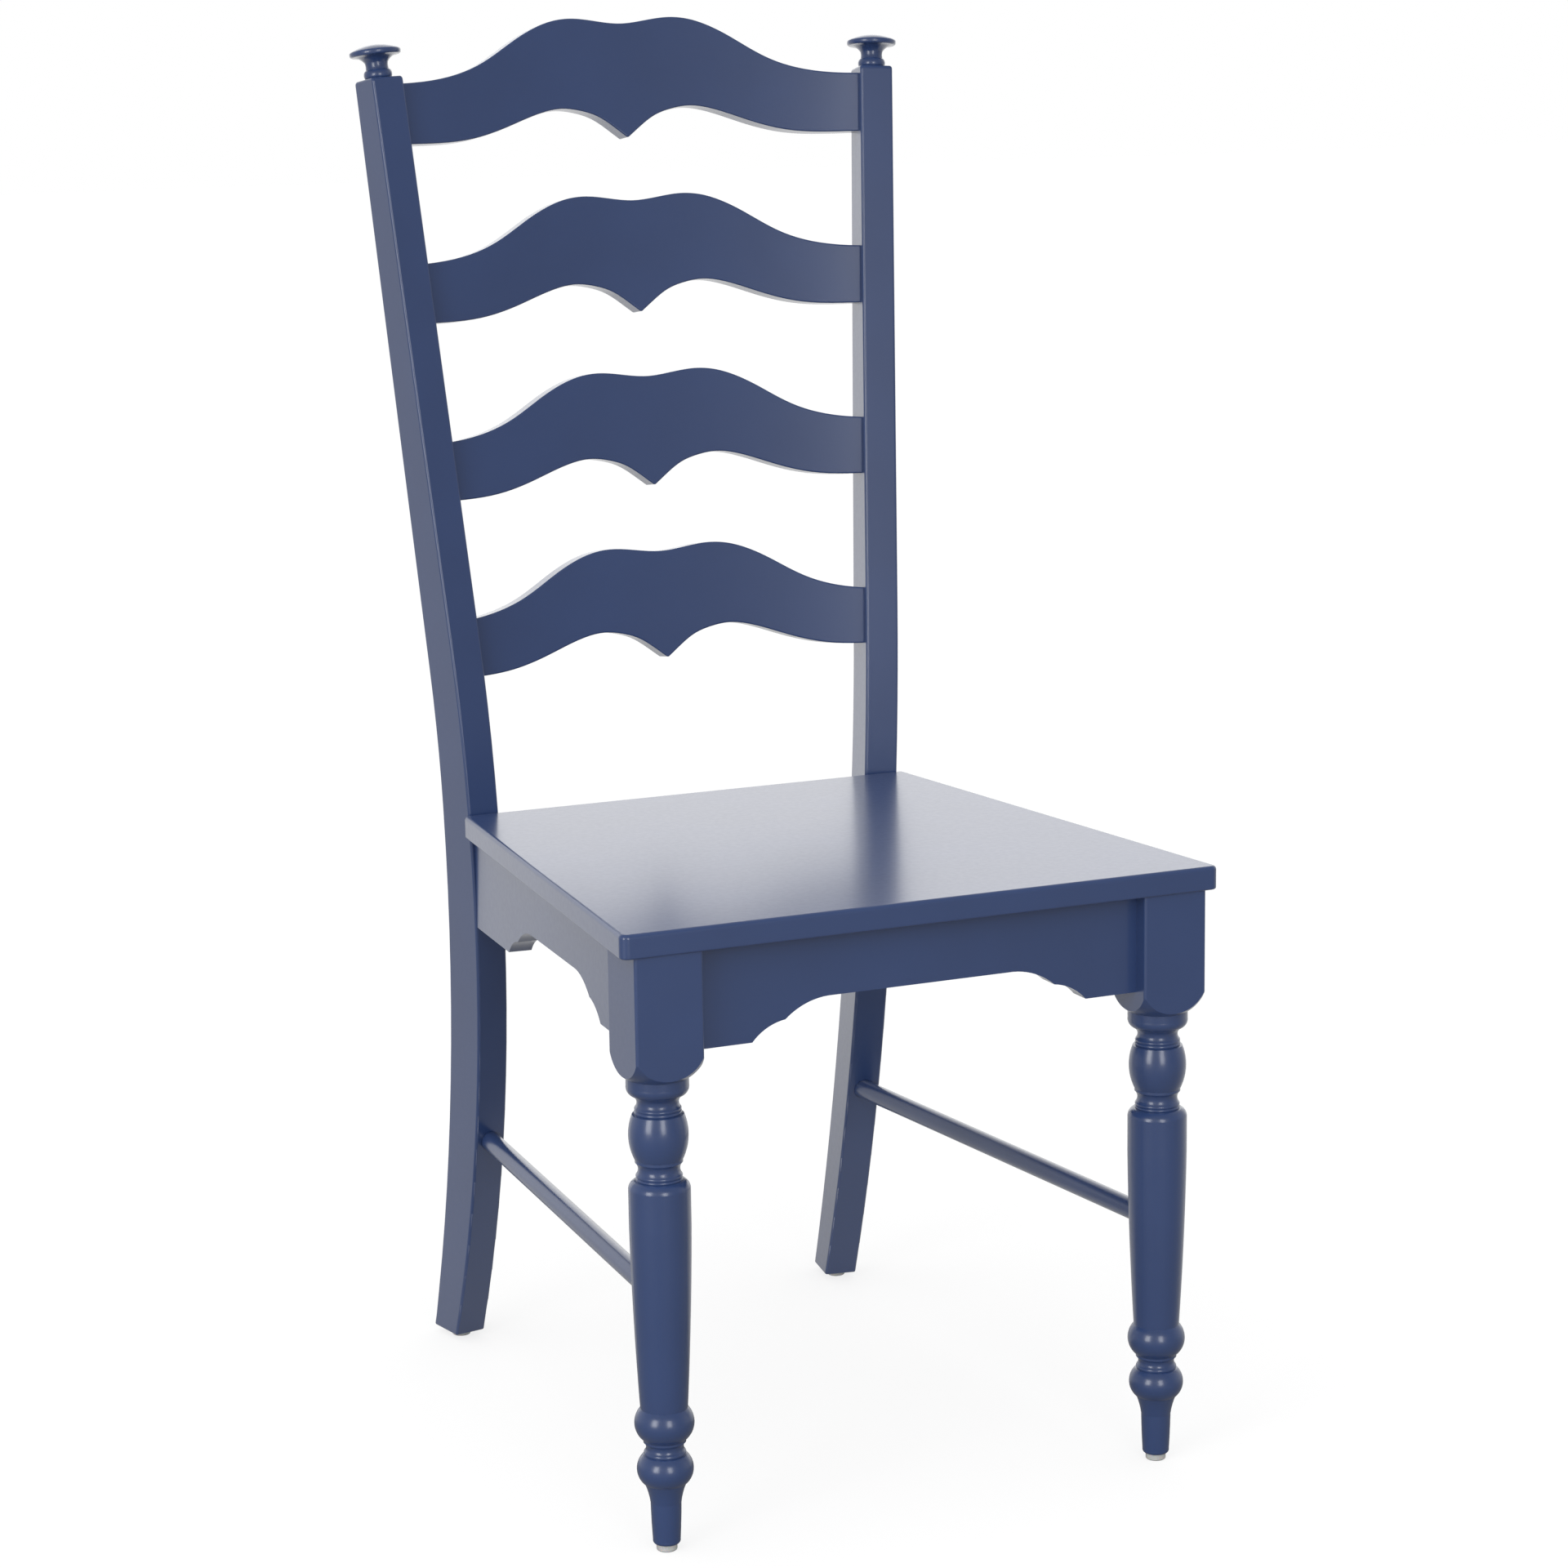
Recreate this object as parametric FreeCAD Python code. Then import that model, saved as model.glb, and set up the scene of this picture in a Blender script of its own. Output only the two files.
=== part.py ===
import FreeCAD, Part
import os
from math import atan2, cos, degrees, radians, sin, sqrt, tan
from FreeCAD import Placement, Rotation, Vector

# Ladderback dining chair, in millimetres.
# It faces -Y, its halves mirror across X = 0, and it stands on Z = 0.
# It is laid out with the rear edge of the seat at Y = 0, then centred over the origin.

# Seat board
SEAT_HEIGHT = 457.0
SEAT_THICKNESS = 17.5
SEAT_DEPTH = 432.0
SEAT_FRONT_WIDTH = 469.5
SEAT_REAR_WIDTH = 381.0
SEAT_FRONT_CORNER = 6.0
SEAT_REAR_CORNER = 4.0
SEAT_TOP_EASE = 3.0
SEAT_UNDER_EASE = 1.5

# Front legs: a square block above a turned shaft
LEG_BLOCK = 51.0
LEG_SIDE_OVERHANG = 10.25       # seat past the outer faces of the leg blocks
LEG_BLOCK_EASE = 2.0
LEG_FRONT_OVERHANG = 2.0        # seat past the front of the leg blocks
LEG_TONGUE_DROP = 88.0          # below the seat's top, where the corners of the block start to round in
LEG_TURNING_DROP = 109.5        # below the seat's top, where the turning under the block starts
LEG_TONGUE_RADIUS = 36.5

# Back posts, sawn from plank, turned about the vertical and leaning outwards
POST_SPREAD = 172.6             # middle of the front face at seat height
POST_THICKNESS = 27.0
POST_DEPTH = 42.5
POST_TOP_DEPTH = 30.0
POST_TOP_RISE = 567.7           # above the seat
POST_TURN = 10.0                # degrees about the vertical
POST_LEAN = 2.3                 # degrees outwards
POST_RAKE = 8.3                 # degrees backwards above the seat
POST_FRONT_BEND_RISE = 55.0     # above the seat, where the straight front lines would meet
POST_FRONT_BEND_RADIUS = 1150.0
POST_REAR_BEND_RISE = 55.0
POST_REAR_BEND_RADIUS = 900.0
POST_FRONT_SWEEP_DROP = 42.0    # below the seat's top, where the front starts to sweep back downwards
POST_REAR_SWEEP_DROP = 2.0
POST_FOOT_SWEEP = 81.0
POST_FOOT_DEPTH = 36.0
POST_EDGE_EASE = 2.0
POST_FOOT_EASE = 1.6
POST_TOP_EASE = 3.0
SEAT_TO_POST = 0.3              # gap behind the seat

# Finials
FINIAL_HEIGHT = 25.9
FINIAL_RIM_RADIUS = 18.7        # upper edge of the cap's rim, where the dome starts
FINIAL_RIM_HEIGHT = 21.8
FINIAL_TENON_RADIUS = 5.0
FINIAL_TENON_LENGTH = 8.0

# Ladder slats, all cut from one pattern and bowed backwards
SLAT_COUNT = 4
SLAT_FIRST_RISE = 104.5         # from the seat to the lower end of the lowest slat
SLAT_LAST_DROP = 52.5           # from the top of the posts to the lower end of the highest slat
SLAT_THICKNESS = 18.0
SLAT_SET_BACK = 8.0             # behind the front of the posts
SLAT_BOW_RADIUS = 890.0
SLAT_EDGE_EASE = 1.2
SLAT_END_HEIGHT = 42.9
SLAT_TENON_THICKNESS = 9.0
SLAT_TENON_SHOULDER = 8.0
SLAT_TENON_LENGTH = 14.0
SLAT_CREST_GROWTH = 1.6         # added to the crest of each further slat
SLAT_END_GROWTH = 1.0           # and to its ends
SLAT_TIP_HALF = 1.3             # half of the rounded tip between the scallops
SLAT_TIP_HEIGHT = 2.5
SLAT_TIP_RISE = 0.5

# Aprons under the seat
APRON_THICKNESS = 18.0
APRON_SET_BACK = 13.0           # behind the outer faces of the leg blocks
APRON_POST_SET_IN = 3.5         # side apron inside the outer edge of the post
BACK_APRON_SET_BACK = 3.0       # behind the inner front edges of the posts
APRON_FOOT_DROP = 90.7          # below the seat's top
APRON_KINK_RISE = 13.7
APRON_ARCH_RISE = 26.9
APRON_FOOT_TO_KINK = 25.6
APRON_KINK_TO_ARCH = 33.4
APRON_LOWER_HOLLOW = 2.7
APRON_UPPER_HOLLOW = 3.1
FRONT_ARCH_HALF = 73.0
SIDE_ARCH_HALF = 57.5
SIDE_ARCH_PLACE = 175.5         # middle of the arch behind the leg block
BACK_ARCH_HALF = 54.0

# Side stretchers
STRETCHER_RADIUS = 7.8
STRETCHER_FRONT_HEIGHT = 186.5
STRETCHER_REAR_HEIGHT = 183.0
STRETCHER_FROM_LEG_AXIS = 3.5
STRETCHER_TENON = 17.0

# Dowels of the aprons
DOWEL_RADIUS = 4.0
DOWEL_REACH = 13.0
DOWEL_DROPS = (69.0, 33.0)      # below the seat's top
BACK_DOWEL_DROP = 12.5          # keeps the back apron's dowels clear of the side apron's

# Corner blocks and screws
CORNER_HEIGHT = 26.0
CORNER_LENGTH = 72.0
CORNER_END = 8.0
CORNER_CLIP = 9.0
CORNER_DROP = 0.4               # below the seat
CORNER_RELIEF = 1.0             # around the leg block
CORNER_SCREW_PLACE = 48.0
SEAT_SCREW_PLACE = 30.0
SEAT_SCREW_SINK = 8.0
SEAT_SCREW_BITE = 11.0
APRON_SCREW_GRIP = 18.0
APRON_SCREW_BITE = 12.0
SCREW_RADIUS = 2.1
SCREW_POINT = 4.0
SCREW_HEAD_RADIUS = 4.2
SCREW_HEAD_HEIGHT = 2.8
SCREW_HEAD_ROUND = 0.9
SCREW_RECESS_WIDTH = 1.0
SCREW_RECESS_LENGTH = 4.6
SCREW_RECESS_DEPTH = 1.6
COUNTERBORE_RADIUS = 5.0

# Glides
GLIDE_RADIUS = 7.5
GLIDE_HEIGHT = 5.0
GLIDE_ROUND = 1.5
REAR_GLIDE_FORWARD = 5.0        # of the middle of the foot
GLIDE_NAIL_RADIUS = 1.2
GLIDE_NAIL_LENGTH = 16.0
GLIDE_NAIL_POINT = 3.0

# Clearances
FIT = 0.15                      # around tenons, dowels, screws and nails
END_GAP = 1.0                   # past their ends

# Turning under the leg block: radius, height, and how far the arc that ends there bulges outwards.
# The heights are those at the seat height above. For another they stretch in proportion.
LEG_TURNING = [
    (22.1, 347.5, 2.9),         # rounded end of the block
    (22.1, 342.0, 0.0),         # ring
    (17.3, 334.5, 1.7),
    (16.9, 333.9, 0.0),
    (15.9, 326.4, -1.6),        # upper neck
    (16.1, 324.0, 0.55),        # twin beads
    (16.4, 321.4, 0.6),
    (18.3, 321.0, 0.0),
    (17.3, 289.0, 3.3),         # vase
    (16.9, 288.6, 0.0),
    (16.9, 286.5, 0.0),
    (15.9, 278.0, -1.6),        # lower neck
    (16.0, 275.5, 0.55),        # twin beads
    (16.3, 273.4, 0.5),
    (17.9, 273.1, 0.0),
    (21.9, 267.4, 0.95),        # shoulder
    (21.9, 240.0, 0.0),
    (16.9, 106.4, 0.75),        # long taper
    (15.5, 83.2, 5.1),          # upper ankle ring
    (15.2, 82.8, 0.0),
    (15.2, 81.2, 0.0),
    (14.4, 74.7, -1.4),         # ankle neck
    (14.7, 71.9, 0.55),
    (15.9, 71.5, 0.0),
    (15.7, 50.8, 4.4),          # lower ankle ring
    (14.9, 50.3, 0.0),
    (11.0, 36.0, -0.5),         # foot
    (9.9, 8.0, 0.15),
]
LEG_END_RADIUS = 7.7
LEG_END_BULGE = 0.8

# Turning of the finial between the post and the rim of its cap
FINIAL_TURNING = [
    (10.1, 0.0, 0.0),
    (10.0, 6.2, 1.0),           # bead
    (9.1, 6.8, 0.0),
    (9.0, 12.2, -0.35),         # stem
    (17.6, 17.4, -1.3),         # hollow under the cap
    (19.9, 19.6, 0.8),          # rounded rim
    (FINIAL_RIM_RADIUS, FINIAL_RIM_HEIGHT, 0.5),
]

# Pattern of the lowest slat: distance from the middle and height above the lower end
SLAT_TOP = [
    (0.0, 87.5),
    (41.0, 91.7),
    (60.0, 89.6),
    (75.0, 84.5),
    (92.0, 75.9),
    (109.0, 65.7),
    (125.0, 57.3),
    (140.0, 51.7),
    (172.0, 45.3),
    (215.0, SLAT_END_HEIGHT),
]
SLAT_SCALLOP = [
    (215.0, -0.6),
    (168.0, 0.4),
    (136.0, 3.4),
    (104.0, 12.2),
    (72.0, 23.2),
    (54.0, 25.9),
    (39.0, 24.0),
    (25.0, 19.5),
    (12.0, 11.2),
    (SLAT_TIP_HALF, SLAT_TIP_HEIGHT + SLAT_TIP_RISE),
]

# Places that follow from the sizes above
SEAT_UNDERSIDE = SEAT_HEIGHT - SEAT_THICKNESS
LEG_FRONT = LEG_FRONT_OVERHANG - SEAT_DEPTH
LEG_REAR = LEG_FRONT + LEG_BLOCK
LEG_MIDDLE = LEG_FRONT + LEG_BLOCK / 2
LEG_SPREAD = SEAT_FRONT_WIDTH / 2 - LEG_SIDE_OVERHANG - LEG_BLOCK / 2
LEG_INNER = LEG_SPREAD - LEG_BLOCK / 2
LEG_OUTER = LEG_SPREAD + LEG_BLOCK / 2
LEG_TONGUE_TOP = SEAT_HEIGHT - LEG_TONGUE_DROP
LEG_STRETCH = (SEAT_HEIGHT - LEG_TURNING_DROP) / LEG_TURNING[0][1]
FRONT_APRON_FACE = LEG_FRONT + APRON_SET_BACK
APRON_FOOT_HEIGHT = SEAT_HEIGHT - APRON_FOOT_DROP
CORNER_TOP = SEAT_UNDERSIDE - CORNER_DROP
CORNER_MIDDLE = CORNER_TOP - CORNER_HEIGHT / 2
POST_HALF = POST_THICKNESS / 2
POST_TOP_HEIGHT = SEAT_HEIGHT + POST_TOP_RISE
POST_FRONT_BEND = SEAT_HEIGHT + POST_FRONT_BEND_RISE
POST_REAR_BEND = SEAT_HEIGHT + POST_REAR_BEND_RISE
POST_FRONT_SWEEP_TOP = SEAT_HEIGHT - POST_FRONT_SWEEP_DROP
POST_REAR_SWEEP_TOP = SEAT_HEIGHT - POST_REAR_SWEEP_DROP
SLAT_PITCH = (POST_TOP_RISE - SLAT_LAST_DROP - SLAT_FIRST_RISE) / (SLAT_COUNT - 1)
FAR = 3 * SEAT_HEIGHT           # size of trimming blocks
ALIGNED = cos(radians(1))        # of directions that count as the same
UP = Vector(0, 0, 1)
INWARDS = Vector(-1, 0, 0)
BACKWARDS = Vector(0, 1, 0)
QUARTER_BULGE = 1 - cos(radians(45))    # of a quarter circle, per radius

# The right post's own frame: X across the plank from its middle, Y back from its front, Z up
POST_PLACE = Placement(
    Vector(POST_SPREAD, POST_HALF * sin(radians(POST_TURN)) + SEAT_TO_POST, SEAT_HEIGHT),
    Rotation(UP, -POST_TURN) * Rotation(BACKWARDS, POST_LEAN),
) * Placement(Vector(0, 0, -SEAT_HEIGHT), Rotation())


def bulged(start, end, bulge):
    """Edge from start to end that stands out by bulge to the left of its way."""
    if bulge == 0:
        return Part.LineSegment(start, end).toShape()
    chord = end - start
    left = Vector(-chord.z, 0, chord.x).normalize()
    return Part.Arc(start, (start + end) / 2 + left * bulge, end).toShape()


def turned(rows):
    """Solid turned about Z from rows of radius, height and outward bulge."""
    outwards = 1 if rows[-1][1] < rows[0][1] else -1
    points = [Vector(radius, 0, height) for radius, height, bulge in rows]
    first, last = Vector(0, 0, points[0].z), Vector(0, 0, points[-1].z)
    edges = [Part.LineSegment(last, first).toShape(), Part.LineSegment(first, points[0]).toShape()]
    for start, end, row in zip(points, points[1:], rows[1:]):
        edges.append(bulged(start, end, row[2] * outwards))
    if points[-1].x > 0:
        edges.append(Part.LineSegment(points[-1], last).toShape())
    return Part.Face(Part.Wire(edges)).revolve(Vector(), UP, 360)


def rod(radius, start, end):
    """Round bar from start to end."""
    return Part.makeCylinder(radius, (end - start).Length, start, end - start)


def plate(corners, thickness):
    """Upright prism over plan corners."""
    return Part.Face(Part.makePolygon(corners + corners[:1])).extrude(UP * thickness)


def in_place(shape, place):
    moved = shape.copy()
    moved.Placement = place * moved.Placement
    return moved


def pointing(shape, start, way):
    """A shape built upwards from the origin, put at start and pointing along way."""
    return in_place(shape, Placement(start, Rotation(UP, way)))


def across(shape):
    """The same shape on the other side of the chair."""
    return shape.mirror(Vector(), Vector(1, 0, 0))


def both(shape):
    return [shape, across(shape)]


def edges_among(shape, wanted):
    """Edges whose ends all pass the test."""
    return [edge for edge in shape.Edges if all(wanted(vertex.Point) for vertex in edge.Vertexes)]


def blend(before, corner, after, radius):
    """Arc that rounds the corner of two lines, between its ends."""
    into = (corner - before).normalize()
    out = (after - corner).normalize()
    half_turn = into.getAngle(out) / 2
    start = corner - into * radius * tan(half_turn)
    end = corner + out * radius * tan(half_turn)
    middle = corner + (out - into).normalize() * radius * (1 / cos(half_turn) - 1)
    return start, Part.Arc(start, middle, end).toShape(), end


def swept(upright, top, sweep, height):
    """Point on the arc that leaves an upright line at top and lies sweep behind it at Z = 0."""
    radius = (sweep ** 2 + top ** 2) / (2 * sweep)
    return Vector(0, upright + radius - sqrt(radius ** 2 - (top - height) ** 2), height)


def post_front(height):
    """Middle of the post's front face below the seat, in the post's frame."""
    if height > POST_FRONT_SWEEP_TOP:
        return Vector(0, 0, height)
    return swept(0, POST_FRONT_SWEEP_TOP, POST_FOOT_SWEEP, height)


def post_blank(half_width):
    """Sawn post in its own frame with sharp edges, as wide as asked."""
    rake = radians(POST_RAKE)
    front_top = Vector(0, (POST_TOP_HEIGHT - POST_FRONT_BEND) * tan(rake), POST_TOP_HEIGHT)
    rear_top = front_top + Vector(0, cos(rake), -sin(rake)) * POST_TOP_DEPTH
    front_low = Vector(0, 0, POST_FRONT_SWEEP_TOP)
    rear_low = Vector(0, POST_DEPTH, POST_REAR_SWEEP_TOP)
    rear_sweep = POST_FOOT_SWEEP + POST_FOOT_DEPTH - POST_DEPTH
    front_foot, rear_foot = post_front(0), swept(POST_DEPTH, POST_REAR_SWEEP_TOP, rear_sweep, 0)
    front_middle = post_front(POST_FRONT_SWEEP_TOP / 2)
    rear_middle = swept(POST_DEPTH, POST_REAR_SWEEP_TOP, rear_sweep, POST_REAR_SWEEP_TOP / 2)
    front_corner = Vector(0, 0, POST_FRONT_BEND)
    rear_corner = Vector(0, POST_DEPTH, POST_REAR_BEND)
    front_start, front_arc, front_end = blend(front_low, front_corner, front_top, POST_FRONT_BEND_RADIUS)
    rear_start, rear_arc, rear_end = blend(rear_low, rear_corner, rear_top, POST_REAR_BEND_RADIUS)
    face = Part.Face(Part.Wire([
        Part.Arc(front_foot, front_middle, front_low).toShape(),
        Part.LineSegment(front_low, front_start).toShape(),
        front_arc,
        Part.LineSegment(front_end, front_top).toShape(),
        Part.LineSegment(front_top, rear_top).toShape(),
        Part.LineSegment(rear_top, rear_end).toShape(),
        rear_arc,
        Part.LineSegment(rear_start, rear_low).toShape(),
        Part.Arc(rear_low, rear_middle, rear_foot).toShape(),
        Part.LineSegment(rear_foot, front_foot).toShape(),
    ]))
    face.translate(Vector(-half_width, 0, 0))
    return face.extrude(Vector(2 * half_width, 0, 0))


def post_top():
    """Where the finial stands, in the post's frame, and the way it points."""
    rake = radians(POST_RAKE)
    rise = POST_TOP_HEIGHT - POST_FRONT_BEND
    way = Vector(0, sin(rake), cos(rake))
    return Vector(0, rise * tan(rake), POST_TOP_HEIGHT) + Vector(0, way.z, -way.y) * POST_TOP_DEPTH / 2, way


def back_post():
    """Right back post with eased edges and a foot cut level, in its place."""
    blank = post_blank(POST_HALF)
    top = post_top()[0].z
    crown = [edge for edge in blank.Edges
             if all(vertex.Z > top - POST_TOP_DEPTH and vertex.Z > SEAT_HEIGHT for vertex in edge.Vertexes)
             and abs(edge.Vertexes[0].X - edge.Vertexes[1].X) > POST_HALF]
    post = in_place(blank.makeFillet(POST_TOP_EASE, crown), POST_PLACE)
    post = post.cut(Part.makeBox(FAR, FAR, FAR, Vector(0, -FAR / 2, GLIDE_HEIGHT - FAR)))
    across_post = POST_PLACE.Rotation.multVec(INWARDS)
    sides = [face for face in post.Faces if abs(face.normalAt(0, 0).dot(across_post)) > ALIGNED]
    long_edges = [edge for side in sides for edge in side.Edges if edge.CenterOfMass.z > GLIDE_HEIGHT + FIT]
    post = post.makeFillet(POST_EDGE_EASE, long_edges)
    return post.makeFillet(POST_FOOT_EASE, edges_among(post, lambda point: point.z < GLIDE_HEIGHT + FIT))


def past_post_face(inset):
    """Everything outwards of the right post's inner face, once that is moved in by inset."""
    return in_place(Part.makeBox(FAR, 2 * FAR, 2 * FAR, Vector(inset - POST_HALF, -FAR, -FAR)), POST_PLACE)


def between_posts(shape, inset):
    return shape.cut(both(past_post_face(inset)))


def finial():
    """Right finial with its tenon, in its place."""
    rise = FINIAL_HEIGHT - FINIAL_RIM_HEIGHT
    dome_radius = (FINIAL_RIM_RADIUS ** 2 + rise ** 2) / (2 * rise)
    chord = sqrt(FINIAL_RIM_RADIUS ** 2 + rise ** 2)
    dome_bulge = dome_radius - sqrt(dome_radius ** 2 - chord ** 2 / 4)
    tenon = [(FINIAL_TENON_RADIUS, -FINIAL_TENON_LENGTH, 0), (FINIAL_TENON_RADIUS, 0, 0)]
    shape = turned(tenon + FINIAL_TURNING + [(0, FINIAL_HEIGHT, dome_bulge)])
    return in_place(pointing(shape, *post_top()), POST_PLACE)


def finial_bore():
    top, way = post_top()
    depth = FINIAL_TENON_LENGTH + END_GAP
    return in_place(rod(FINIAL_TENON_RADIUS + FIT, top - way * depth, top + way * depth), POST_PLACE)


def front_leg():
    """Right front leg before it is bored."""
    wide = LEG_BLOCK
    rows = [(wide, SEAT_UNDERSIDE, 0), (wide, LEG_TONGUE_TOP, 0), (LEG_TONGUE_RADIUS, LEG_TONGUE_TOP, 0)]
    shaft = [(radius, height * LEG_STRETCH, bulge) for radius, height, bulge in LEG_TURNING]
    turning = turned(rows + shaft + [(LEG_END_RADIUS, GLIDE_HEIGHT, LEG_END_BULGE)])
    half = LEG_BLOCK / 2
    block = Part.makeBox(LEG_BLOCK, LEG_BLOCK, SEAT_UNDERSIDE, Vector(-half, -half, 0))
    upright = [edge for edge in block.Edges if is_upright(edge)]
    leg = turning.common(block.makeFillet(LEG_BLOCK_EASE, upright))
    leg.translate(Vector(LEG_SPREAD, LEG_MIDDLE, 0))
    return leg


def is_upright(edge):
    low, high = edge.Vertexes[0].Point, edge.Vertexes[-1].Point
    return abs(low.z - high.z) > FIT and abs(low.x - high.x) < FIT and abs(low.y - high.y) < FIT


def seat_board():
    """Seat board before the screws are piloted."""
    front, rear = SEAT_FRONT_WIDTH / 2, SEAT_REAR_WIDTH / 2
    board = plate([
        Vector(-front, -SEAT_DEPTH, SEAT_UNDERSIDE),
        Vector(front, -SEAT_DEPTH, SEAT_UNDERSIDE),
        Vector(rear, 0, SEAT_UNDERSIDE),
        Vector(-rear, 0, SEAT_UNDERSIDE),
    ], SEAT_THICKNESS)
    upright = [edge for edge in board.Edges if is_upright(edge)]
    board = board.makeFillet(SEAT_FRONT_CORNER, [edge for edge in upright if edge.CenterOfMass.y < -FIT])
    upright = [edge for edge in board.Edges if is_upright(edge)]
    board = board.makeFillet(SEAT_REAR_CORNER, [edge for edge in upright if edge.CenterOfMass.y > -FIT])
    board = board.makeFillet(SEAT_TOP_EASE, edges_among(board, lambda point: point.z > SEAT_HEIGHT - FIT))
    return board.makeFillet(SEAT_UNDER_EASE, edges_among(board, lambda point: point.z < SEAT_UNDERSIDE + FIT))


def slat_outline(number):
    """Pattern of a slat in the X-Z plane, longer than any slat. The number is 0 for the lowest."""
    crest = max(height for x, height in SLAT_TOP)
    half_top = []
    for x, height in SLAT_TOP:
        share = (height - SLAT_END_HEIGHT) / (crest - SLAT_END_HEIGHT)
        growth = SLAT_END_GROWTH + (SLAT_CREST_GROWTH - SLAT_END_GROWTH) * share
        half_top.append(Vector(x, 0, height + number * growth))
    left_top = [Vector(-point.x, 0, point.z) for point in half_top[:0:-1]]
    top = Part.BSplineCurve()
    top.interpolate(left_top + half_top)
    half_under = [Vector(x, 0, height) for x, height in SLAT_SCALLOP]
    under = Part.BSplineCurve()
    under.interpolate(half_under)
    edge = under.toShape()
    other = edge.mirror(Vector(), Vector(1, 0, 0))
    tip, end = half_under[-1], half_under[0]
    tip_arc = Part.Arc(tip, UP * SLAT_TIP_HEIGHT, Vector(-tip.x, 0, tip.z)).toShape()
    right_end = Part.LineSegment(half_top[-1], end).toShape()
    left_end = Part.LineSegment(Vector(-end.x, 0, end.z), left_top[0]).toShape()
    return Part.Face(Part.Wire([top.toShape(), right_end, edge, tip_arc, other, left_end]))


def bowed(face, front, thickness):
    """The part of a pattern's prism between two bowed faces. The front one is at Y = front when X = 0."""
    depth = SLAT_BOW_RADIUS / 2
    prism = face.copy()
    prism.translate(BACKWARDS * -depth)
    prism = prism.extrude(BACKWARDS * 2 * depth)
    box = prism.BoundBox
    base = Vector(0, -SLAT_BOW_RADIUS, box.ZMin - END_GAP)
    height = box.ZLength + 2 * END_GAP
    outer = Part.makeCylinder(SLAT_BOW_RADIUS + front + thickness, height, base)
    return prism.common(outer).cut(Part.makeCylinder(SLAT_BOW_RADIUS + front, height, base))


def slat_tenons(around, past):
    """Thin band that leaves the tenons once it is cut to length, grown by a clearance on each side."""
    half = SLAT_TOP[-1][0]
    low = SLAT_TENON_SHOULDER - around
    high = SLAT_END_HEIGHT - SLAT_TENON_SHOULDER + around
    corners = [Vector(-half, 0, low), Vector(half, 0, low), Vector(half, 0, high), Vector(-half, 0, high)]
    front = (SLAT_THICKNESS - SLAT_TENON_THICKNESS) / 2 - around
    band = bowed(Part.Face(Part.makePolygon(corners + corners[:1])), front, SLAT_TENON_THICKNESS + 2 * around)
    return band, SLAT_TENON_LENGTH + past


def slat_blank(number):
    """Bowed slat longer than any slat. The edges of its faces are eased, and those through its thickness stay sharp."""
    half = SLAT_TOP[-1][0]
    slat = bowed(slat_outline(number), 0, SLAT_THICKNESS)
    long_edges = []
    for edge in slat.Edges:
        middle = edge.valueAt((edge.FirstParameter + edge.LastParameter) / 2)
        through = abs(edge.tangentAt(edge.FirstParameter).y) > ALIGNED
        if abs(middle.x) < half - FIT and not through:
            long_edges.append(edge)
    return slat.makeFillet(SLAT_EDGE_EASE, long_edges)


def slat_place(height):
    """Where a slat goes: its rake follows the line of its front along the right post."""
    rake = radians(POST_RAKE)
    ahead = Vector(-POST_HALF, 0, POST_FRONT_BEND) + Vector(0, cos(rake), -sin(rake)) * SLAT_SET_BACK
    low = POST_PLACE.multVec(ahead)
    high = POST_PLACE.multVec(ahead + Vector(0, sin(rake), cos(rake)) * SLAT_PITCH)
    way = (high - low) / (high.z - low.z)
    start = low + way * (height - low.z)
    middle = start + way * SLAT_END_HEIGHT / 2
    bow = SLAT_BOW_RADIUS - sqrt(SLAT_BOW_RADIUS ** 2 - middle.x ** 2)
    tilt = Rotation(Vector(1, 0, 0), -degrees(atan2(way.y, way.z)))
    return Placement(Vector(0, start.y, start.z) + tilt.multVec(BACKWARDS) * bow, tilt)


def scrolled_board(front_end, rear_end, middle, arch_half, thickness):
    """Board along X with its outer face in the X-Z plane, hung from the seat, with a scrolled lower edge."""
    half = [
        Vector(arch_half + APRON_KINK_TO_ARCH + APRON_FOOT_TO_KINK, 0, APRON_FOOT_HEIGHT),
        Vector(arch_half + APRON_KINK_TO_ARCH, 0, APRON_FOOT_HEIGHT + APRON_KINK_RISE),
        Vector(arch_half, 0, APRON_FOOT_HEIGHT + APRON_ARCH_RISE),
    ]
    foot, kink, arch = half
    right = [bulged(foot, kink, -APRON_LOWER_HOLLOW), bulged(kink, arch, -APRON_UPPER_HOLLOW)]
    left = [edge.mirror(Vector(), Vector(1, 0, 0)) for edge in reversed(right)]
    scroll = right + [Part.LineSegment(arch, Vector(-arch.x, 0, arch.z)).toShape()] + left
    for edge in scroll:
        edge.translate(Vector(middle, 0, 0))
    corners = [
        Vector(middle - foot.x, 0, foot.z),
        Vector(front_end, 0, foot.z),
        Vector(front_end, 0, SEAT_UNDERSIDE),
        Vector(rear_end, 0, SEAT_UNDERSIDE),
        Vector(rear_end, 0, foot.z),
        Vector(middle + foot.x, 0, foot.z),
    ]
    sides = [Part.LineSegment(start, end).toShape() for start, end in zip(corners, corners[1:])]
    return Part.Face(Part.Wire(sides + scroll)).extrude(BACKWARDS * thickness)


def side_line():
    """Right side apron's outer face in plan: its front end, its way backwards and its way inwards."""
    start = Vector(LEG_OUTER - APRON_SET_BACK, LEG_REAR, 0)
    end = POST_PLACE.multVec(Vector(POST_HALF - APRON_POST_SET_IN, 0, SEAT_UNDERSIDE))
    way = Vector(end.x - start.x, end.y - start.y, 0).normalize()
    return start, way, Vector(-way.y, way.x, 0), (end.y - start.y) / way.y


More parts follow.
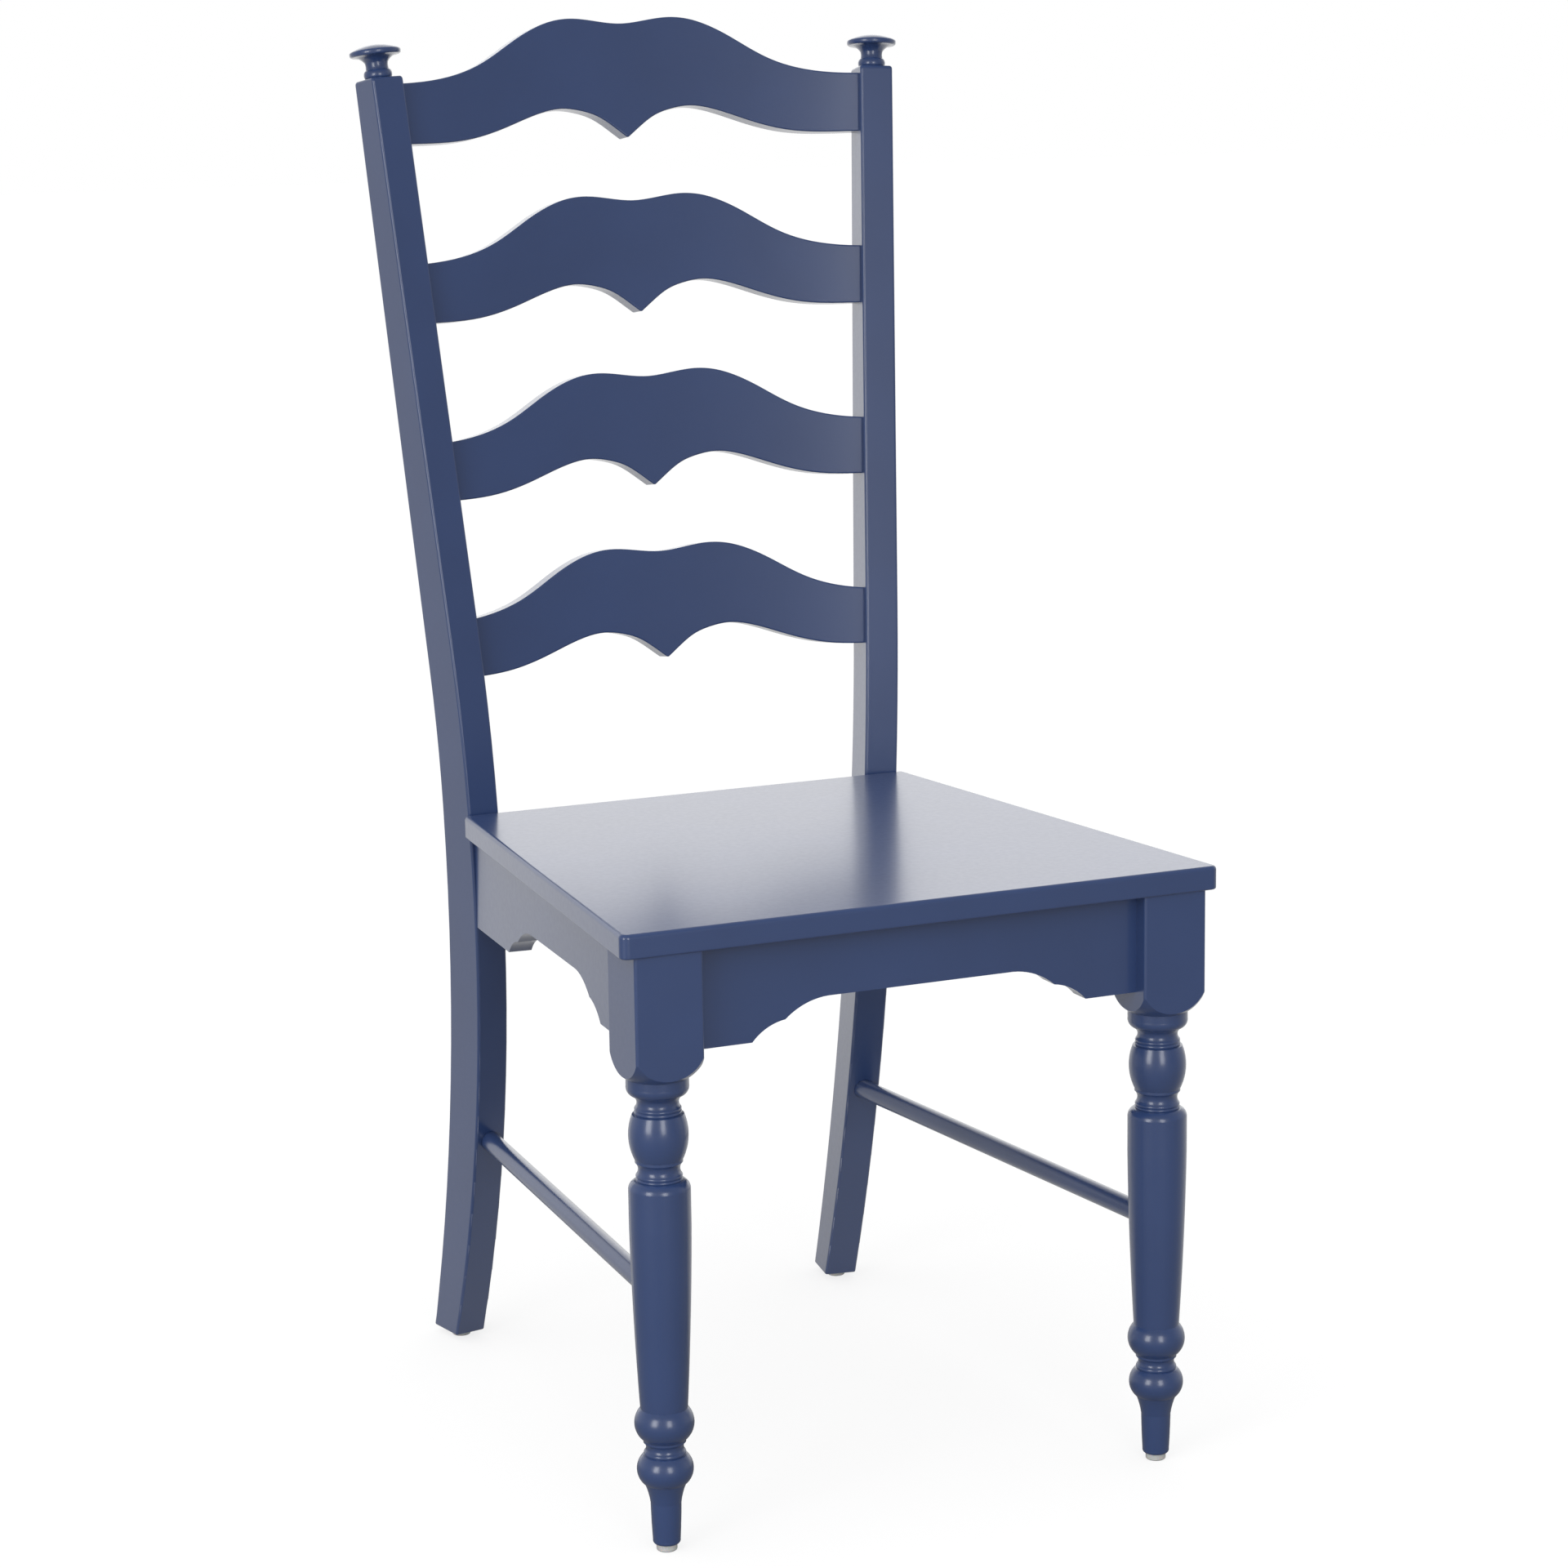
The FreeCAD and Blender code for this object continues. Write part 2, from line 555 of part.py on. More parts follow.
def front_apron():
    board = scrolled_board(-LEG_INNER, LEG_INNER, 0, FRONT_ARCH_HALF, APRON_THICKNESS)
    board.translate(Vector(0, FRONT_APRON_FACE, 0))
    return board


def back_apron_face():
    inner_edge = POST_PLACE.multVec(Vector(-POST_HALF, 0, SEAT_UNDERSIDE))
    return inner_edge.y + BACK_APRON_SET_BACK


def back_apron():
    board = scrolled_board(-POST_SPREAD, POST_SPREAD, 0, BACK_ARCH_HALF, APRON_THICKNESS)
    board.translate(Vector(0, back_apron_face(), 0))
    return between_posts(board, 0)


def side_apron():
    """Right side apron, from the leg block to the post."""
    start, way, inwards, length = side_line()
    spare = LEG_BLOCK / 2
    board = scrolled_board(-spare, length + spare, SIDE_ARCH_PLACE, SIDE_ARCH_HALF, APRON_THICKNESS)
    turn = degrees(atan2(way.y, way.x))
    board = in_place(board, Placement(start, Rotation(UP, turn)))
    ahead_of_leg_rear = Part.makeBox(2 * FAR, FAR, FAR, Vector(-FAR, LEG_REAR - FAR, 0))
    return board.cut([ahead_of_leg_rear, in_place(post_blank(POST_DEPTH), POST_PLACE)])


def stretcher_ends():
    """Ends of the right side stretcher, inside the leg and the post."""
    axis = Vector(LEG_SPREAD, LEG_MIDDLE, STRETCHER_FRONT_HEIGHT)
    local_height = SEAT_HEIGHT + (STRETCHER_REAR_HEIGHT - SEAT_HEIGHT) / cos(radians(POST_LEAN))
    seat_on_post = POST_PLACE.multVec(post_front(local_height))
    way = (seat_on_post - axis).normalize()
    return axis + way * STRETCHER_FROM_LEG_AXIS, seat_on_post + way * STRETCHER_TENON


def bore_for(radius, ends):
    """Bore around a rod, longer than it at both ends."""
    start, end = ends
    way = (end - start).normalize()
    return rod(radius + FIT, start - way * END_GAP, end + way * END_GAP)


def meet(start, way, on_face, normal):
    """Where a line from start along way meets a plane."""
    return start + way * ((on_face - start).dot(normal) / way.dot(normal))


def dowel_ends():
    """Ends of the right-hand dowels of each joint."""
    half = APRON_THICKNESS / 2
    start, way, inwards, length = side_line()
    side = start + inwards * half
    right = INWARDS * -1
    post_corner = POST_PLACE.multVec(Vector(-POST_HALF, 0, SEAT_UNDERSIDE))
    post_back, post_out = [POST_PLACE.Rotation.multVec(axis) for axis in (BACKWARDS, right)]
    joints = {
        "front_apron_dowel": (Vector(0, FRONT_APRON_FACE + half, 0), right, Vector(LEG_INNER, 0, 0), right, 0),
        "side_apron_front_dowel": (side, way, Vector(0, LEG_REAR, 0), BACKWARDS, 0),
        "side_apron_rear_dowel": (side, way, post_corner, post_back, 0),
        "back_apron_dowel": (Vector(0, back_apron_face() + half, 0), right, post_corner, post_out, BACK_DOWEL_DROP),
    }
    ends = {}
    for name, (origin, along, on_face, normal, drop) in joints.items():
        middles = [meet(origin + UP * (SEAT_HEIGHT - down - drop), along, on_face, normal) for down in DOWEL_DROPS]
        ends[name] = [(middle - along * DOWEL_REACH, middle + along * DOWEL_REACH) for middle in middles]
    return ends


def apron_corner(rear):
    """Inside corner of two aprons at the right: its place, the way along the side and away from the other."""
    start, way, inwards, length = side_line()
    cross = back_apron_face() if rear else FRONT_APRON_FACE + APRON_THICKNESS
    corner = meet(start + inwards * APRON_THICKNESS, way, BACKWARDS * cross, BACKWARDS)
    return (corner, way * -1, inwards, BACKWARDS * -1) if rear else (corner, way, inwards, BACKWARDS)


def corner_block(rear):
    """Right corner block before it is bored."""
    corner, along, inwards, away = apron_corner(rear)
    corner.z = CORNER_TOP - CORNER_HEIGHT
    on_cross = corner + INWARDS * CORNER_LENGTH
    on_side = corner + along * CORNER_LENGTH
    block = plate([
        corner + INWARDS * CORNER_CLIP,
        on_cross,
        on_cross + away * CORNER_END,
        on_side + inwards * CORNER_END,
        on_side,
        corner + along * CORNER_CLIP,
    ], CORNER_HEIGHT)
    if rear:
        return block.cut(in_place(post_blank(POST_HALF + CORNER_RELIEF), POST_PLACE))
    room = LEG_BLOCK + 2 * CORNER_RELIEF
    low = Vector(LEG_INNER - CORNER_RELIEF, LEG_FRONT - CORNER_RELIEF, 0)
    return block.cut(Part.makeBox(room, room, SEAT_HEIGHT, low))


def corner_screws(rear):
    """Place under the head, way and length of each screw in a right corner block."""
    corner, along, inwards, away = apron_corner(rear)
    middle = corner + UP * CORNER_MIDDLE
    length = APRON_SCREW_GRIP + APRON_SCREW_BITE
    sunk = corner + (INWARDS + along) * SEAT_SCREW_PLACE + UP * (CORNER_TOP - CORNER_HEIGHT + SEAT_SCREW_SINK)
    return {
        "cross": (middle + INWARDS * CORNER_SCREW_PLACE + away * APRON_SCREW_GRIP, away * -1, length),
        "side": (middle + along * CORNER_SCREW_PLACE + inwards * APRON_SCREW_GRIP, inwards * -1, length),
        "seat": (sunk, UP, CORNER_HEIGHT - SEAT_SCREW_SINK + CORNER_DROP + SEAT_SCREW_BITE),
    }


def screw(length):
    """Round-headed screw with a cross recess, pointing upwards, with Z = 0 under its head."""
    shape = turned([
        (SCREW_HEAD_RADIUS - SCREW_HEAD_ROUND, -SCREW_HEAD_HEIGHT, 0),
        (SCREW_HEAD_RADIUS, SCREW_HEAD_ROUND - SCREW_HEAD_HEIGHT, SCREW_HEAD_ROUND * QUARTER_BULGE),
        (SCREW_HEAD_RADIUS, 0, 0),
        (SCREW_RADIUS, 0, 0),
        (SCREW_RADIUS, length - SCREW_POINT, 0),
        (0, length, 0),
    ])
    half_length, half_width = SCREW_RECESS_LENGTH / 2, SCREW_RECESS_WIDTH / 2
    low = -SCREW_HEAD_HEIGHT
    slots = [
        Part.makeBox(2 * x, 2 * y, SCREW_RECESS_DEPTH, Vector(-x, -y, low))
        for x, y in ((half_length, half_width), (half_width, half_length))
    ]
    return shape.cut(slots)


def screw_bores(start, way, length):
    """Hole for the shank and counterbore for the head."""
    hole = rod(SCREW_RADIUS + FIT, start - way * END_GAP, start + way * (length + END_GAP))
    return [hole, rod(COUNTERBORE_RADIUS, start - way * CORNER_LENGTH, start)]


def glide():
    """Round pad with its nail, standing on Z = 0."""
    top = GLIDE_HEIGHT + GLIDE_NAIL_LENGTH
    return turned([
        (GLIDE_RADIUS - GLIDE_ROUND, 0, 0),
        (GLIDE_RADIUS, GLIDE_ROUND, GLIDE_ROUND * QUARTER_BULGE),
        (GLIDE_RADIUS, GLIDE_HEIGHT, 0),
        (GLIDE_NAIL_RADIUS, GLIDE_HEIGHT, 0),
        (GLIDE_NAIL_RADIUS, top - GLIDE_NAIL_POINT, 0),
        (0, top, 0),
    ])


def ladder_slats():
    """The slats from the lowest up, and the tools that mortise the right post."""
    thin, reach = slat_tenons(0, 0)
    wide, depth = slat_tenons(FIT, END_GAP)
    slats, mortises = [], []
    for number in range(SLAT_COUNT):
        place = slat_place(SEAT_HEIGHT + SLAT_FIRST_RISE + number * SLAT_PITCH)
        body = between_posts(in_place(slat_blank(number), place), 0)
        tenon = in_place(thin, place).common(past_post_face(-SLAT_TENON_SHOULDER)).cut(past_post_face(reach))
        slats.append(body.fuse(both(tenon)))
        mortises.append(between_posts(in_place(wide, place), depth))
    return slats, mortises


def chair():
    """All pieces by name."""
    dowels = dowel_ends()
    dowel_bores = {name: [bore_for(DOWEL_RADIUS, ends) for ends in joint] for name, joint in dowels.items()}
    screws = {"front": corner_screws(False), "rear": corner_screws(True)}
    bores = {place: {name: screw_bores(*at) for name, at in group.items()} for place, group in screws.items()}
    stretcher = stretcher_ends()
    stretcher_bore = bore_for(STRETCHER_RADIUS, stretcher)
    slats, mortises = ladder_slats()
    foot = POST_PLACE.multVec(Vector(0, POST_FOOT_SWEEP + POST_FOOT_DEPTH / 2 - REAR_GLIDE_FORWARD, GLIDE_HEIGHT))
    feet = {"front": Vector(LEG_SPREAD, LEG_MIDDLE, 0), "rear": Vector(foot.x, foot.y, 0)}
    nail_end = UP * (GLIDE_HEIGHT + GLIDE_NAIL_LENGTH)
    nails = {name: bore_for(GLIDE_NAIL_RADIUS, (place, place + nail_end)) for name, place in feet.items()}

    seat_bores = bores["front"]["seat"] + bores["rear"]["seat"]
    front_bores = dowel_bores["front_apron_dowel"] + bores["front"]["cross"]
    back_bores = dowel_bores["back_apron_dowel"] + bores["rear"]["cross"]
    side_bores = dowel_bores["side_apron_front_dowel"] + dowel_bores["side_apron_rear_dowel"]
    leg_bores = dowel_bores["front_apron_dowel"] + dowel_bores["side_apron_front_dowel"]
    post_bores = dowel_bores["back_apron_dowel"] + dowel_bores["side_apron_rear_dowel"] + mortises
    pieces = {
        "seat_board": seat_board().cut([tool for bore in seat_bores for tool in both(bore)]),
        "front_apron": front_apron().cut([tool for bore in front_bores for tool in both(bore)]),
        "back_apron": back_apron().cut([tool for bore in back_bores for tool in both(bore)]),
    }
    for number, slat in enumerate(slats, 1):
        pieces[f"ladder_slat_{number}"] = slat
    paired = {
        "front_leg": front_leg().cut(leg_bores + [stretcher_bore, nails["front"]]),
        "back_post": back_post().cut(post_bores + [stretcher_bore, nails["rear"], finial_bore()]),
        "finial": finial(),
        "side_apron": side_apron().cut(side_bores + bores["front"]["side"] + bores["rear"]["side"]),
        "side_stretcher": rod(STRETCHER_RADIUS, *stretcher),
    }
    for name, joint in dowels.items():
        for number, ends in enumerate(joint, 1):
            paired[f"{name}_{number}"] = rod(DOWEL_RADIUS, *ends)
    for place, group in screws.items():
        cuts = [bore for holes in bores[place].values() for bore in holes]
        paired[f"{place}_corner_block"] = corner_block(place == "rear").cut(cuts)
        for name, (start, way, length) in group.items():
            paired[f"{place}_corner_{name}_screw"] = pointing(screw(length), start, way)
        paired[f"{place}_glide"] = in_place(glide(), Placement(feet[place], Rotation()))
    for name, shape in paired.items():
        pieces[f"{name}_right"] = shape
        pieces[f"{name}_left"] = across(shape)
    return pieces


def main():
    pieces = chair()
    rear = max(piece.BoundBox.YMax for piece in pieces.values())
    shift = Vector(0, (SEAT_DEPTH - rear) / 2, 0)
    os.makedirs("parts", exist_ok=True)
    for name, piece in pieces.items():
        solid = piece.Solids[0] if len(piece.Solids) == 1 else piece
        solid.translate(shift)
        solid.exportStep(f"parts/{name}.step")


main()
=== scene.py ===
"""Looks of the ladderback chair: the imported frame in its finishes, in a plain white studio."""

import math

import bpy
from mathutils import Matrix, Vector

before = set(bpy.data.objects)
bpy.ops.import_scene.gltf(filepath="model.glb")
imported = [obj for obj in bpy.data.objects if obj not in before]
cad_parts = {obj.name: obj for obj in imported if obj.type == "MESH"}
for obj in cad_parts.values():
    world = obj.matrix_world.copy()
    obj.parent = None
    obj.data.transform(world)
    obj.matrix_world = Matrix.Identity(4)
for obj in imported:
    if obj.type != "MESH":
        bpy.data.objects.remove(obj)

bl_info = {
    "name": "Ladderback chair",
    "version": (1, 0, 0),
    "blender": (4, 5, 0),
    "location": "3D View > Sidebar > Chair",
    "description": "Dresses a painted ladderback chair and sets its studio",
    "category": "Object",
}

# Where the grain's long way, Z in the pattern, goes on a piece
UPRIGHT = (0, 0, 0)
ACROSS = (0, math.radians(90), 0)
BACKWARDS = (math.radians(90), 0, 0)

# Nearly all the values of a noise texture lie between these
NOISE_RANGE = {"From_Min": 0.3, "From_Max": 0.7}

# The middle of the chair, which the lamps point at
LIT_POINT = Vector((0, 0, 0.55))
# The lamps: name, place, width, height, and the share of full light that each gives that point
LAMPS = (
    ("left_soft_box", (-2.84, -1.68, 1.15), 1.15, 1.8, 0.24),
    ("right_soft_box", (-0.34, -3.4, 1.15), 0.95, 1.8, 0.17),
    ("backdrop_light", (2.07, 4.55, 1.6), 4.6, 2.6, 0.042),
)

# Which way the lit backdrop stands: straight behind the chair as the camera sees it
BACKDROP = (math.sin(math.radians(24.4)), math.cos(math.radians(24.4)), 0)
# Which way the white screens stand: to the front left
SCREENS = (-0.77, -0.64, 0)


def linear(colour):
    """Linear red, green and blue of an sRGB hex colour."""
    parts = [int(colour[at:at + 2], 16) / 255 for at in (1, 3, 5)]
    return tuple(part / 12.92 if part <= 0.04045 else ((part + 0.055) / 1.055) ** 2.4
                 for part in parts)


class ChairFinishes(bpy.types.PropertyGroup):
    """Colours and surface sizes of the chair's finishes."""

    enamel: bpy.props.FloatVectorProperty(
        name="Enamel", description="Colour of the paint",
        subtype="COLOR", size=3, min=0, max=1, default=linear("#283D69"))
    beech: bpy.props.FloatVectorProperty(
        name="Beech", description="Colour of the bare dowels",
        subtype="COLOR", size=3, min=0, max=1, default=linear("#CFA678"))
    zinc: bpy.props.FloatVectorProperty(
        name="Zinc", description="Colour of the screws' plating",
        subtype="COLOR", size=3, min=0, max=1, default=linear("#C9CBC8"))
    nylon: bpy.props.FloatVectorProperty(
        name="Nylon", description="Colour of the glides",
        subtype="COLOR", size=3, min=0, max=1, default=linear("#BCBCBA"))
    pore_width: bpy.props.FloatProperty(
        name="Pore width", description="Width of the wood pores that show under the paint",
        unit="LENGTH", default=0.0012, min=0.0002, max=0.01)
    peel_size: bpy.props.FloatProperty(
        name="Orange peel", description="Distance between the ripples of sprayed paint",
        unit="LENGTH", default=0.004, min=0.001, max=0.02)


class ChairStudio(bpy.types.PropertyGroup):
    """The floor and the camera."""

    floor_size: bpy.props.FloatProperty(
        name="Floor", description="Side of the studio floor",
        unit="LENGTH", default=40, min=2, max=100)
    lens: bpy.props.FloatProperty(
        name="Lens", description="Focal length for a sensor 36 mm wide",
        unit="CAMERA", default=91.04, min=10, max=300)
    camera_place: bpy.props.FloatVectorProperty(
        name="Camera", description="Where the camera stands",
        subtype="XYZ", unit="LENGTH", size=3, default=(-1.212, -2.70839, 1.0838))
    camera_heading: bpy.props.FloatProperty(
        name="Heading", description="Turn of the view from the chair's depth towards its right",
        subtype="ANGLE", default=math.radians(24.371))
    camera_dip: bpy.props.FloatProperty(
        name="Dip", description="How far the view points below the horizon",
        subtype="ANGLE", default=math.radians(11.307))
    camera_roll: bpy.props.FloatProperty(
        name="Roll", description="Turn of the camera about its view",
        subtype="ANGLE", default=math.radians(-0.818))


def add_node(tree, kind, settings=None, **inputs):
    """Adds a shader node, sets its properties, and sets or links its inputs: To_Min is the socket
    called To Min, and i1 is the second socket."""
    node = tree.nodes.new("ShaderNode" + kind)
    for name, value in (settings or {}).items():
        setattr(node, name, value)
    for name, value in inputs.items():
        by_number = name[0] == "i" and name[1:].isdigit()
        socket = node.inputs[int(name[1:]) if by_number else name.replace("_", " ")]
        if isinstance(value, bpy.types.NodeSocket):
            tree.links.new(value, socket)
        else:
            socket.default_value = value
    return node


def blank(name):
    """A material with no shader yet, its node tree, and the socket that gives the place on a piece
    in metres."""
    material = bpy.data.materials.new(name)
    material.use_nodes = True
    tree = material.node_tree
    tree.nodes.clear()
    return material, tree, add_node(tree, "TexCoord").outputs["Object"]


def solid_colour(rgb):
    """Red, green and blue as a colour socket takes them."""
    return (*rgb, 1)


def dress(nodes, material):
    """Gives CAD nodes a material in every slot."""
    for name in nodes:
        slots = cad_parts[name].material_slots
        if not slots:
            raise RuntimeError(f"{name} has no material slot")
        for slot in slots:
            slot.material = material


def pair(*names):
    """Names of the left and right nodes."""
    return [f"{name}_{side}" for name in names for side in ("left", "right")]


def enamel_over_beech(name, turn):
    """Satin enamel, sprayed on beech: an even colour, a soft gloss with a clear mirror at a flat
    angle, faint ripples of orange peel, and pores that run with the grain under the film."""
    finishes = bpy.context.scene.chair_finishes
    pore_stretch = 30  # how many times longer than wide a pore is
    patch = 0.09  # the film is thicker and thinner in patches a hand's breadth apart
    relief = 0.00002  # height of the ripples, and of what shows of the pores
    material, tree, place = blank(name)

    # pores: 1.2 mm apart across the grain, coarser than beech has them, so that they show
    along = add_node(tree, "Mapping", {"vector_type": "TEXTURE"}, Vector=place, Rotation=turn,
                     Scale=(1, 1, pore_stretch)).outputs["Vector"]
    pores = add_node(tree, "TexNoise", Vector=along, Scale=1 / finishes.pore_width, Detail=3,
                     Roughness=0.6).outputs["Fac"]
    # orange peel: ripples 4 mm apart, a little duller on their crests
    peel = add_node(tree, "TexNoise", Vector=place, Scale=1 / finishes.peel_size, Detail=1,
                    Roughness=0.4).outputs["Fac"]
    gloss = add_node(tree, "MapRange", Value=peel, **NOISE_RANGE,
                     To_Min=0.34, To_Max=0.37).outputs["Result"]
    # film: its patches are drawn a little stronger than they are
    film = add_node(tree, "TexNoise", Vector=place, Scale=1 / patch, Detail=2).outputs["Fac"]
    shade = add_node(tree, "MapRange", Value=film, **NOISE_RANGE,
                     To_Min=0.95, To_Max=1.05).outputs["Result"]
    colour = add_node(tree, "HueSaturation", Value=shade,
                      Color=solid_colour(finishes.enamel)).outputs["Color"]

    ripples = add_node(tree, "Bump", Strength=0.05, Distance=relief,
                       Height=peel).outputs["Normal"]
    grain = add_node(tree, "Bump", Strength=0.06, Distance=relief, Height=pores,
                     Normal=ripples).outputs["Normal"]
    shader = add_node(tree, "BsdfPrincipled", Base_Color=colour, Roughness=gloss, IOR=1.55,
                      Coat_Weight=1.0, Coat_Roughness=0.2, Coat_IOR=1.55, Normal=grain,
                      Coat_Normal=ripples)
    add_node(tree, "OutputMaterial", Surface=shader.outputs["BSDF"])
    return material


def beech_dowel():
    """Beech rod, planed and left bare: pale tan with fine long flecks, and matt."""
    finishes = bpy.context.scene.chair_finishes
    fleck_width = 0.0008
    fleck_stretch = 12  # how many times longer than wide a fleck is
    material, tree, place = blank("Beech rod, planed and bare")
    along = add_node(tree, "Mapping", {"vector_type": "TEXTURE"}, Vector=place, Rotation=ACROSS,
                     Scale=(1, 1, fleck_stretch)).outputs["Vector"]
    flecks = add_node(tree, "TexNoise", Vector=along, Scale=1 / fleck_width,
                      Detail=4).outputs["Fac"]
    shade = add_node(tree, "MapRange", Value=flecks, **NOISE_RANGE,
                     To_Min=0.8, To_Max=1.1).outputs["Result"]
    colour = add_node(tree, "HueSaturation", Value=shade,
                      Color=solid_colour(finishes.beech)).outputs["Color"]
    bump = add_node(tree, "Bump", Strength=0.4, Distance=0.0001, Height=flecks).outputs["Normal"]
    shader = add_node(tree, "BsdfPrincipled", Base_Color=colour, Roughness=0.6, IOR=1.5,
                      Normal=bump)
    add_node(tree, "OutputMaterial", Surface=shader.outputs["BSDF"])
    return material


def zinc_screw():
    """Steel screw, rolled and zinc plated: a cool grey metal with a slightly uneven dull shine."""
    finishes = bpy.context.scene.chair_finishes
    patch = 0.0015  # the plating's dull and bright patches
    material, tree, place = blank("Steel, rolled and zinc plated")
    plating = add_node(tree, "TexNoise", Vector=place, Scale=1 / patch, Detail=3).outputs["Fac"]
    gloss = add_node(tree, "MapRange", Value=plating, **NOISE_RANGE,
                     To_Min=0.28, To_Max=0.42).outputs["Result"]
    shader = add_node(tree, "BsdfPrincipled", Base_Color=solid_colour(finishes.zinc),
                      Metallic=1.0, Roughness=gloss)
    add_node(tree, "OutputMaterial", Surface=shader.outputs["BSDF"])
    return material


def nylon_glide():
    """Nylon glide, moulded: pale grey, waxy and a little translucent, with a fine eroded grain."""
    finishes = bpy.context.scene.chair_finishes
    grain_width = 0.0008
    depth = 0.002  # how far light goes into the nylon
    material, tree, place = blank("Nylon, moulded")
    grain = add_node(tree, "TexNoise", Vector=place, Scale=1 / grain_width,
                     Detail=2).outputs["Fac"]
    bump = add_node(tree, "Bump", Strength=0.3, Distance=0.00005, Height=grain).outputs["Normal"]
    shade = add_node(tree, "MapRange", Value=grain, **NOISE_RANGE,
                     To_Min=0.97, To_Max=1.03).outputs["Result"]
    colour = add_node(tree, "HueSaturation", Value=shade,
                      Color=solid_colour(finishes.nylon)).outputs["Color"]
    shader = add_node(tree, "BsdfPrincipled", Base_Color=colour, Roughness=0.45, IOR=1.53,
                      Subsurface_Weight=0.3, Subsurface_Scale=depth, Normal=bump)
    add_node(tree, "OutputMaterial", Surface=shader.outputs["BSDF"])
    return material


class CHAIR_OT_front_legs(bpy.types.Operator):
    """Turned front legs, enamelled with the grain upright"""

    bl_idname = "chair.front_legs"
    bl_label = "Front legs"

    def execute(self, context):
        finish = enamel_over_beech("Satin enamel sprayed on turned beech legs", UPRIGHT)
        dress(pair("front_leg"), finish)
        return {"FINISHED"}


class CHAIR_OT_back_posts(bpy.types.Operator):
    """Sawn back posts, enamelled with the grain upright"""

    bl_idname = "chair.back_posts"
    bl_label = "Back posts"

    def execute(self, context):
        finish = enamel_over_beech("Satin enamel sprayed on sawn beech posts", UPRIGHT)
        dress(pair("back_post"), finish)
        return {"FINISHED"}


class CHAIR_OT_finials(bpy.types.Operator):
    """Turned finials, enamelled with the grain upright"""

    bl_idname = "chair.finials"
    bl_label = "Finials"

    def execute(self, context):
        finish = enamel_over_beech("Satin enamel sprayed on turned beech finials", UPRIGHT)
        dress(pair("finial"), finish)
        return {"FINISHED"}


class CHAIR_OT_ladder_slats(bpy.types.Operator):
    """Bowed ladder slats, enamelled with the grain across"""

    bl_idname = "chair.ladder_slats"
    bl_label = "Ladder slats"

    def execute(self, context):
        slats = [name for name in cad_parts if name.startswith("ladder_slat_")]
        dress(slats, enamel_over_beech("Satin enamel sprayed on bent beech slats", ACROSS))
        return {"FINISHED"}


class CHAIR_OT_seat(bpy.types.Operator):
    """Seat board, enamelled with the grain across"""

    bl_idname = "chair.seat"
    bl_label = "Seat"

    def execute(self, context):
        finish = enamel_over_beech("Satin enamel sprayed on a planed beech seat", ACROSS)
        dress(["seat_board"], finish)
        return {"FINISHED"}


class CHAIR_OT_aprons(bpy.types.Operator):
    """Scrolled aprons, enamelled with the grain along each board"""

    bl_idname = "chair.aprons"
    bl_label = "Aprons"

    def execute(self, context):
        finish = enamel_over_beech("Satin enamel sprayed on scrolled beech aprons", ACROSS)
        dress(["front_apron", "back_apron"], finish)
        side_finish = enamel_over_beech("Satin enamel sprayed on scrolled beech side aprons",
                                        BACKWARDS)
        dress(pair("side_apron"), side_finish)
        return {"FINISHED"}


class CHAIR_OT_stretchers(bpy.types.Operator):
    """Round side stretchers, enamelled with the grain along them"""

    bl_idname = "chair.stretchers"
    bl_label = "Stretchers"

    def execute(self, context):
        finish = enamel_over_beech("Satin enamel sprayed on beech rods", BACKWARDS)
        dress(pair("side_stretcher"), finish)
        return {"FINISHED"}


class CHAIR_OT_corner_blocks(bpy.types.Operator):
    """Corner blocks under the seat, enamelled with the grain across"""

    bl_idname = "chair.corner_blocks"
    bl_label = "Corner blocks"

    def execute(self, context):
        finish = enamel_over_beech("Satin enamel sprayed on sawn beech blocks", ACROSS)
        dress(pair("front_corner_block", "rear_corner_block"), finish)
        return {"FINISHED"}


class CHAIR_OT_dowels(bpy.types.Operator):
    """Dowels inside the apron joints, bare beech"""

    bl_idname = "chair.dowels"
    bl_label = "Dowels"

    def execute(self, context):
        dress([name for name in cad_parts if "_dowel_" in name], beech_dowel())
        return {"FINISHED"}


class CHAIR_OT_screws(bpy.types.Operator):
    """Screws through the corner blocks, zinc plated"""

    bl_idname = "chair.screws"
    bl_label = "Screws"

    def execute(self, context):
        dress([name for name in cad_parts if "_screw_" in name], zinc_screw())
        return {"FINISHED"}


class CHAIR_OT_glides(bpy.types.Operator):
    """Glides under the feet, moulded nylon"""

    bl_idname = "chair.glides"
    bl_label = "Glides"

    def execute(self, context):
        dress(pair("front_glide", "rear_glide"), nylon_glide())
        return {"FINISHED"}


def backdrop_share(tree, way):
    """Share of white that the paint mirrors from a direction: full from straight behind the chair,
    0.4 from its sides and 0.2 from the front."""
    front, beyond_sides, boost_behind = 0.21, 0.57, 1.75
    turned = add_node(tree, "VectorMath", {"operation": "DOT_PRODUCT"}, i0=way,
                      i1=BACKDROP).outputs["Value"]
    round_chair = add_node(tree, "MapRange", Value=turned, From_Min=-0.4, From_Max=0.45,
                           To_Min=front, To_Max=beyond_sides).outputs["Result"]
    boost = add_node(tree, "MapRange", {"interpolation_type": "SMOOTHSTEP"}, Value=turned,
                     From_Min=0.6, From_Max=0.9, To_Min=1.0,
                     To_Max=boost_behind).outputs["Result"]
    return add_node(tree, "Math", {"operation": "MULTIPLY"}, i0=round_chair,
                    i1=boost).outputs["Value"]


